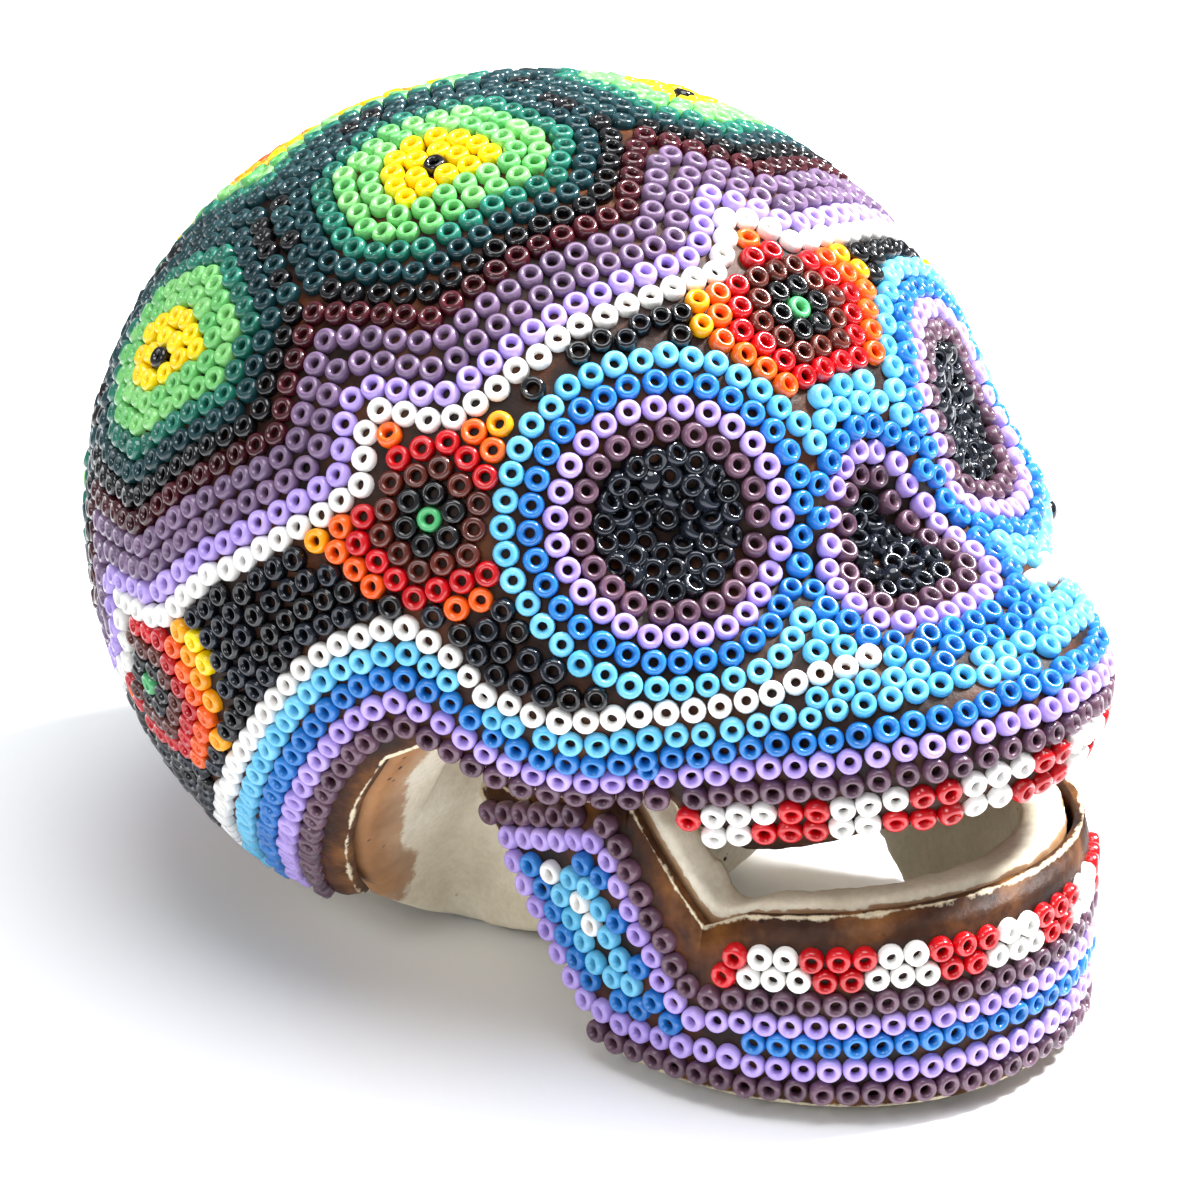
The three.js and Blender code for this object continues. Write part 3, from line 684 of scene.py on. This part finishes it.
def add_bump(nodes, links, height, distance, strength=1.0, below=None):
    bump = nodes.new("ShaderNodeBump")
    bump.inputs["Strength"].default_value = strength
    bump.inputs["Distance"].default_value = distance
    links.new(height, bump.inputs["Height"])
    if below:
        links.new(below, bump.inputs["Normal"])
    return bump.outputs["Normal"]


def attribute(nodes, name):
    reader = nodes.new("ShaderNodeAttribute")
    reader.attribute_name = name
    return reader.outputs["Fac"]


def bead_material(colour):
    """Pressed glass: each bead has its own tint, with faint streaks through the glass."""
    name = f"glass_{colour}"
    if name in bpy.data.materials:
        return bpy.data.materials[name]
    dark, light, roughness, metallic, coat = GLASS[colour]
    material, nodes, links, shader = new_material(name)
    streaks = add_noise(nodes, links, 650.0, 2.0)
    share = add_maths(nodes, links, "MULTIPLY", attribute(nodes, "tint"), 0.65)
    streaks = add_maths(nodes, links, "MULTIPLY", streaks, 0.45)
    share = add_maths(nodes, links, "ADD", share, streaks)
    tone = add_ramp(nodes, links, share, [(0.1, linear(dark)), (0.9, linear(light))])
    links.new(tone, shader.inputs["Base Color"])
    shader.inputs["Roughness"].default_value = roughness
    shader.inputs["Metallic"].default_value = metallic
    shader.inputs["Coat Weight"].default_value = coat
    shader.inputs["Coat Roughness"].default_value = 0.06
    shader.inputs["IOR"].default_value = 1.52
    return material


def dark_specks(nodes, links, where):
    """Small dark specks, gathered where the second pattern is high."""
    specks = nodes.new("ShaderNodeTexVoronoi")
    specks.inputs["Scale"].default_value = 520.0
    place = nodes.new("ShaderNodeTexCoord")
    links.new(place.outputs["Object"], specks.inputs["Vector"])
    spotted = add_ramp(nodes, links, specks.outputs["Distance"], [
        (0.08, (1, 1, 1, 1)), (0.16, (0, 0, 0, 1))])
    return add_maths(nodes, links, "MULTIPLY", spotted, where)


def wax_material():
    """Brown beeswax, worked by hand: dark where it is thick, amber where it thins out."""
    material, nodes, links, shader = new_material("beeswax")
    blotches = add_noise(nodes, links, 160.0, 4.0, 0.6)
    thick = add_ramp(nodes, links, blotches, [
        (0.35, linear("150a05")), (0.5, linear("2c1408")), (0.68, linear("5a3014"))])
    thin = add_ramp(nodes, links, blotches, [
        (0.3, linear("1e0f07")), (0.48, linear("4c2a12")), (0.7, linear("8a5a2c"))])
    edge = attribute(nodes, "edge")
    tone = add_mix(nodes, links, edge, thick, thin)
    ragged = add_maths(nodes, links, "ADD",
                       add_maths(nodes, links, "MULTIPLY", edge, 0.65),
                       add_maths(nodes, links, "MULTIPLY",
                                 add_noise(nodes, links, 300.0, 5.0, 0.7), 0.45))
    bare = add_ramp(nodes, links, ragged, [(0.81, (0, 0, 0, 1)), (0.86, (1, 1, 1, 1))])
    tone = add_mix(nodes, links, bare, tone, linear("ddd0b2"))
    tone = add_mix(nodes, links, dark_specks(nodes, links, edge), tone, linear("120c08"))
    links.new(tone, shader.inputs["Base Color"])
    links.new(add_bump(nodes, links, add_noise(nodes, links, 700.0, 6.0, 0.65), 0.2 * MM, 0.7),
              shader.inputs["Normal"])
    shader.inputs["Roughness"].default_value = 0.48
    shader.inputs["Specular IOR Level"].default_value = 0.22
    return material


def casting_material():
    """Cream cast resin with a fine grain, small dark specks, and wax stain beside the wax."""
    material, nodes, links, shader = new_material("cast_resin")
    cloud = add_noise(nodes, links, 70.0, 5.0, 0.6)
    cream = add_ramp(nodes, links, cloud, [
        (0.3, linear("cfc3a6")), (0.5, linear("e6dcc4")), (0.75, linear("f1eadb"))])
    grain = add_noise(nodes, links, 1500.0, 4.0, 0.7)
    cream = add_mix(nodes, links, add_ramp(nodes, links, grain, [
        (0.35, (0.22, 0.22, 0.22, 1)), (0.6, (0, 0, 0, 1))]), cream, linear("a89878"))
    ragged = add_maths(nodes, links, "ADD", attribute(nodes, "stain"), add_maths(
        nodes, links, "MULTIPLY", add_noise(nodes, links, 420.0, 4.0, 0.65), 0.5))
    stained = add_ramp(nodes, links, ragged, [
        (0.62, (0, 0, 0, 1)), (0.7, (0.75, 0.75, 0.75, 1)), (1.0, (0.95, 0.95, 0.95, 1))])
    brown = add_ramp(nodes, links, cloud, [
        (0.3, linear("6e431f")), (0.55, linear("a06a36")), (0.8, linear("c29762"))])
    tone = add_mix(nodes, links, stained, cream, brown)
    rare = add_ramp(nodes, links, add_noise(nodes, links, 130.0, 3.0), [
        (0.56, (0, 0, 0, 1)), (0.62, (1, 1, 1, 1))])
    tone = add_mix(nodes, links, dark_specks(nodes, links, rare), tone, linear("1c1712"))
    links.new(tone, shader.inputs["Base Color"])
    rough = add_bump(nodes, links, add_noise(nodes, links, 240.0, 6.0, 0.6), 0.25 * MM, 0.5)
    links.new(add_bump(nodes, links, grain, 0.05 * MM, 0.5, rough), shader.inputs["Normal"])
    shader.inputs["Roughness"].default_value = 0.58
    return material


def steel_material():
    """Plain steel wire with a drawn finish."""
    material, nodes, links, shader = new_material("steel_wire")
    streaks = add_noise(nodes, links, 2500.0, 2.0)
    tone = add_ramp(nodes, links, streaks, [(0.3, linear("7d7d7b")), (0.7, linear("b4b4b0"))])
    links.new(tone, shader.inputs["Base Color"])
    shader.inputs["Metallic"].default_value = 1.0
    shader.inputs["Roughness"].default_value = 0.35
    return material


# ---------------------------------------------------------------- wax and castings

def smoothstep(value, low, high):
    share = np.clip((np.asarray(value) - low) / (high - low), 0.0, 1.0)
    return share * share * (3 - 2 * share)


def build_wax(layer, node, name):
    """The wax shell with its face raised between the beads and thinned at its edges."""
    points, triangles = welded([node])
    rim = Patch.rim_tree(points, outward_faces(points, triangles, layer.core))
    points, triangles = refined(points, triangles, 6)
    seats, rounding, normals = layer.skin.at(points)
    outer = 1.0 - smoothstep(lengths(seats - points), 0.05 * MM, 0.4 * MM)
    seats += rounding
    inside = smoothstep([rim.find(point)[2] for point in points.tolist()], 0.0, WAX_EDGE)
    lumps = np.array([noise.fractal(Vector(point) * 420.0, 0.7, 2.0, 3)
                      for point in points.tolist()])
    rise = inside * (WAX_RISE + lumps * 0.1 * MM)
    raised = seats + normals * rise[:, None]
    points += outer[:, None] * (raised - points)
    mesh = make_mesh(name, points, triangles)
    mesh.attributes.new("edge", "FLOAT", "POINT").data.foreach_set("value", 1.0 - inside)
    mesh.materials.append(bpy.data.materials.get("beeswax") or wax_material())
    piece = add_piece(name, mesh, layer.body)
    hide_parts(node)
    return piece


def build_casting(layer, node, wax, name, stain_reach, wear):
    """The casting with its facets smoothed, its corners worn, and its surface uneven.
    The wax has stained it brown up to `stain_reach` from its edge."""
    points, triangles = welded([node])
    piece = add_piece(name, make_mesh(name, points, triangles), layer.body)
    remesh = piece.modifiers.new("cast", "REMESH")
    remesh.mode = "VOXEL"
    remesh.voxel_size = CASTING_VOXEL
    smooth = piece.modifiers.new("worn", "SMOOTH")
    smooth.factor = 0.5
    smooth.iterations = 6
    ready = piece.evaluated_get(bpy.context.evaluated_depsgraph_get())
    mesh = bpy.data.meshes.new_from_object(ready)
    piece.modifiers.clear()
    piece.data = mesh
    mesh.shade_smooth()
    count = len(mesh.vertices)
    places, normals = np.empty(count * 3), np.empty(count * 3)
    mesh.vertices.foreach_get("co", places)
    mesh.vertex_normals.foreach_get("vector", normals)
    places, normals = places.reshape(-1, 3), normals.reshape(-1, 3)
    gaps = distances(tree_of(*welded([wax])), places)
    lumps = np.array([noise.fractal(Vector(place) * 260.0, 0.8, 2.0, 3)
                      for place in places.tolist()])
    move = lumps * wear - 0.05 * MM - UNDER_WAX * (1.0 - smoothstep(gaps, 0.6 * MM, 1.1 * MM))
    move *= smoothstep(places[:, 2], 0.3 * MM, 0.9 * MM)
    mesh.vertices.foreach_set("co", (places + normals * move[:, None]).ravel())
    stain = 1.0 - np.minimum(gaps / (2 * stain_reach), 1.0)
    mesh.attributes.new("stain", "FLOAT", "POINT").data.foreach_set("value", stain)
    mesh.materials.clear()
    mesh.materials.append(bpy.data.materials.get("cast_resin") or casting_material())
    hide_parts(node)


# ---------------------------------------------------------------- the pattern

SIDES = ("right", "left")
CELL_NAMES = [f"green_cell_{number}" for number in range(1, 8)]
SUN_NAMES = [f"sun_{number}" for number in range(1, 8)]
CELL_ROWS = ["black", "dark_teal", "teal", "light_green", "light_green", "yellow"]
SUN_RINGS = ["green", "black", "brown", "red", "orange", "amber", "yellow"]
TEETH = 5 * PITCH              # a red tooth and a white one


def mixed(first, second, share):
    """A colour function that now and then picks the second colour."""
    return lambda place, offset: second if chance.random() < share else first


def cell_edge(name):
    """Black against the zigzag, and dark green with a few black beads between cells."""
    zigzag = tree_of(*welded(["maroon_zigzag"]))
    others = [cell for cell in CELL_NAMES if cell != name] + ["crown_star"]
    seams = tree_of(*welded(others))
    between = mixed("dark_teal", "black", 0.3)

    def colour(place, offset):
        if zigzag.find_nearest(place)[3] < seams.find_nearest(place)[3]:
            return "black"
        return between(place, offset)
    return colour


def teeth(red_beads, shift):
    """Red and white teeth by turns, so many beads of each five red. The first red tooth is
    centred at `shift` of a pair from the middle of the face."""
    def colour(place, offset):
        away = abs((offset / TEETH - shift + 0.5) % 1.0 - 0.5)
        return "red" if away < red_beads / 10 else "white"
    return colour


def lay_crown(layer):
    layer.inward("crown_star", ["dark_teal", "teal", "light_green", "yellow", "amber",
                                "orange", "red", "maroon", "black", "green"])
    layer.fill("crown_star", layer.nearest_colour("crown_star"), SQUEEZED)
    for name in CELL_NAMES:
        layer.inward(name, [cell_edge(name)] + CELL_ROWS[1:])
        layer.fill(name, layer.nearest_colour(name), SQUEEZED)
        darken_centre(layer, name)
    layer.between("maroon_zigzag", CELL_NAMES, ["mauve_zigzag"], ["maroon"])
    layer.between("mauve_zigzag", ["maroon_zigzag"], ["lilac_zigzag"], ["mauve", "mauve"])
    layer.between("lilac_zigzag", ["mauve_zigzag"], ["white_zigzag"], ["lilac"])
    layer.beside("white_zigzag", ["lilac_zigzag"], ["white"])
    for name, colour in (("maroon_zigzag", "maroon"), ("mauve_zigzag", "mauve"),
                         ("lilac_zigzag", "lilac"), ("white_zigzag", "white")):
        layer.fill(name, colour)


def darken_centre(layer, name):
    """The bead nearest the middle of a cell's yellow is black."""
    yellow = [index for index, (node, colour) in enumerate(zip(layer.nodes, layer.colours))
              if node == name and colour == "yellow"]
    places = np.array([layer.places[index] for index in yellow])
    nearest = np.argmin(lengths(places - places.mean(0)))
    layer.colours[yellow[nearest]] = "black"


def lay_face(layer):
    for side in SIDES:
        layer.between(f"arch_{side}_white_row", ["sky_cheek_band"],
                      [f"temple_{side}_field", "sky_spectacles"], ["white"])
    for side in SIDES:
        eye = f"eye_{side}"
        layer.between(f"{eye}_plum_ring", [f"{eye}_fill"], [f"{eye}_lilac_ring"], ["plum"])
        layer.between(f"{eye}_lilac_ring", [f"{eye}_plum_ring"], ["blue_spectacles"],
                      ["lilac"])
        layer.fill(f"{eye}_plum_ring", "plum")
        layer.fill(f"{eye}_lilac_ring", "lilac")
        layer.inward(f"{eye}_fill", ["gunmetal"], loose=True)
        layer.fill(f"{eye}_fill", "gunmetal", loose=True)
    layer.beside("nose_plum_ring", ["nose_lilac_ring"], ["plum"], 1, first=1.05 * MM)
    layer.beside("nose_lilac_ring", ["nose_plum_ring"], ["lilac"], 1, first=1.05 * MM)
    layer.fill("nose_plum_ring", "gunmetal")
    layer.fill("nose_lilac_ring", "blue")
    layer.inward("nose_fill", ["gunmetal"], loose=True)
    layer.fill("nose_fill", "gunmetal", loose=True)
    rings = [f"eye_{side}_lilac_ring" for side in SIDES] + ["nose_lilac_ring"]
    layer.beside("blue_spectacles", rings, ["blue", "sky"], 3)
    layer.fill("blue_spectacles", layer.nearest_colour("blue_spectacles"))
    layer.beside("sky_spectacles", ["blue_spectacles"], ["sky"])
    layer.fill("sky_spectacles", "sky", SQUEEZED)


def lay_cheeks(layer):
    layer.beside("blue_cheek_band", ["lilac_cheek_band"], ["blue", "sky"], 4)
    plum = ["muzzle_plum_row"] + [f"arch_{side}_plum_row" for side in SIDES]
    layer.between("lilac_cheek_band", ["blue_cheek_band"], plum, ["lilac"])
    layer.beside("sky_cheek_band", ["blue_cheek_band"], ["sky"])
    for name in plum:
        layer.beside(name, ["lilac_cheek_band"], ["plum"], 1)
    layer.beside("upper_teeth", ["muzzle_plum_row"], [teeth(2, 0.0), teeth(3, 0.0)], 2,
                 phases=(0.5, 0.0))
    for name, colour in (("blue_cheek_band", layer.nearest_colour("blue_cheek_band")),
                         ("lilac_cheek_band", "lilac"),
                         ("sky_cheek_band", "sky")):
        layer.fill(name, colour, SQUEEZED)
    for name in plum:
        layer.fill(name, "plum")
    for side in SIDES:
        layer.fill(f"arch_{side}_white_row", "white")


def by_ring(centre):
    """A colour function for beads squeezed in between or outside a sun's rings."""
    def colour(place, offset):
        ring = round(math.dist(place, centre) / (0.93 * PITCH))
        return SUN_RINGS[min(ring, len(SUN_RINGS) - 1)]
    return colour


def lay_suns_and_fields(layer):
    for name in SUN_NAMES:
        centre = layer.honeycomb(name, SUN_RINGS)
        layer.fill(name, by_ring(centre), SQUEEZED)
    dark = mixed("gunmetal", "black", 0.4)
    for side in SIDES:
        layer.beside(f"temple_{side}_field", [f"arch_{side}_white_row"], [dark], 12)
        layer.fill(f"temple_{side}_field", dark, SQUEEZED)
        layer.fill(f"brow_{side}_field", mixed("black", "gunmetal", 0.3), SQUEEZED)
    layer.fill("back_field", dark, SQUEEZED)


def lay_jaw(layer):
    layer.beside("jaw_lilac_band", ["jaw_blue_band"], ["lilac"], 1, first=1.05 * MM)
    for name in ("jaw_plum_band", "jaw_plum_foot"):
        layer.beside(name, ["jaw_lilac_band"], ["plum"], 1, first=1.1 * MM)
    layer.beside("jaw_blue_band", ["jaw_lilac_band"], ["blue"], 1, first=0.92 * MM)
    for side in SIDES:
        core = f"jaw_{side}_branch_core"
        layer.beside(core, ["jaw_blue_band"], ["sky", "white"], row=1.7 * MM,
                     first=0.95 * MM)
        layer.fill(core, "white")
    layer.beside("lower_teeth", ["jaw_plum_band"], [teeth(2, 0.3), teeth(3, 0.3)], 2,
                 phases=(0.0, 0.5))
    for name, colour in (("jaw_lilac_band", "lilac"), ("jaw_blue_band", "blue"),
                         ("jaw_plum_band", "plum"), ("jaw_plum_foot", "plum")):
        layer.fill(name, colour, ROOMY)


# ---------------------------------------------------------------- stage

CAMERA_TURN = -44.0            # degrees round from straight in front of the face
CAMERA_RISE = 24.0
CAMERA_TARGET = Vector((-9.0, -7.93, 34.8)) * MM
CAMERA_REACH = 337 * MM
LENS = 114.0


def away_from(turn, rise):
    turn, rise = math.radians(turn), math.radians(rise)
    return Vector((math.sin(turn) * math.cos(rise), -math.cos(turn) * math.cos(rise),
                   math.sin(rise)))


def aim(thing, place, target):
    thing.location = place
    thing.rotation_euler = (place - target).to_track_quat("Z", "Y").to_euler()


def add_camera():
    camera = bpy.data.cameras.new("camera")
    camera.lens = LENS
    camera.sensor_width = 36.0
    camera.clip_start = 0.01
    holder = bpy.data.objects.new("camera", camera)
    bpy.context.scene.collection.objects.link(holder)
    aim(holder, CAMERA_TARGET + away_from(CAMERA_TURN, CAMERA_RISE) * CAMERA_REACH,
        CAMERA_TARGET)
    bpy.context.scene.camera = holder


def add_lamp(name, turn, rise, reach, size, watts):
    lamp = bpy.data.lights.new(name, "AREA")
    lamp.shape = "DISK"
    lamp.size = size
    lamp.energy = watts
    holder = bpy.data.objects.new(name, lamp)
    bpy.context.scene.collection.objects.link(holder)
    middle = Vector((0, 0, 35 * MM))
    aim(holder, middle + away_from(turn, rise) * reach, middle)


def add_stage():
    floor_points = np.array([(-4, -4, 0), (4, -4, 0), (4, 4, 0), (-4, 4, 0)], float)
    floor = bpy.data.objects.new("floor", make_mesh("floor", floor_points, [(0, 1, 2, 3)]))
    bpy.context.scene.collection.objects.link(floor)
    floor.location.z = -0.05 * MM
    material, nodes, links, shader = new_material("pale_floor")
    shader.inputs["Base Color"].default_value = (0.93, 0.94, 0.96, 1)
    shader.inputs["Roughness"].default_value = 0.6
    floor.data.materials.append(material)
    world = bpy.data.worlds.new("studio")
    world.use_nodes = True
    background = world.node_tree.nodes["Background"]
    background.inputs["Color"].default_value = (0.94, 0.97, 1.0, 1)
    background.inputs["Strength"].default_value = 0.42
    bpy.context.scene.world = world
    bpy.context.scene.view_settings.view_transform = "Standard"
    add_lamp("key", 62, 52, 0.6, 0.12, 10.5)
    add_lamp("fill", -80, 35, 0.7, 0.25, 1.2)
    add_lamp("top", -20, 80, 0.6, 0.45, 3.2)


# ---------------------------------------------------------------- assembly

cranium = Layer("cranium", "cranium_casting", "cranium_wax")
build_casting(cranium, "cranium_casting", "cranium_wax", "cranium_cast_resin", 4.2 * MM,
              0.08 * MM)
cranium_beeswax = build_wax(cranium, "cranium_wax", "cranium_beeswax")
jaw = Layer("jaw", "jaw_casting", "jaw_wax")
build_casting(jaw, "jaw_casting", "jaw_wax", "jaw_cast_resin", 0.5 * MM, 0.22 * MM)
jaw_beeswax = build_wax(jaw, "jaw_wax", "jaw_beeswax")

lay_crown(cranium)
lay_face(cranium)
lay_cheeks(cranium)
lay_suns_and_fields(cranium)
build_beads(cranium, cranium_beeswax)
lay_jaw(jaw)
build_beads(jaw, jaw_beeswax)

steel = steel_material()
for side in SIDES:
    for material_slot in NODES[f"hinge_pin_{side}"].material_slots:
        material_slot.material = steel

add_camera()
add_stage()
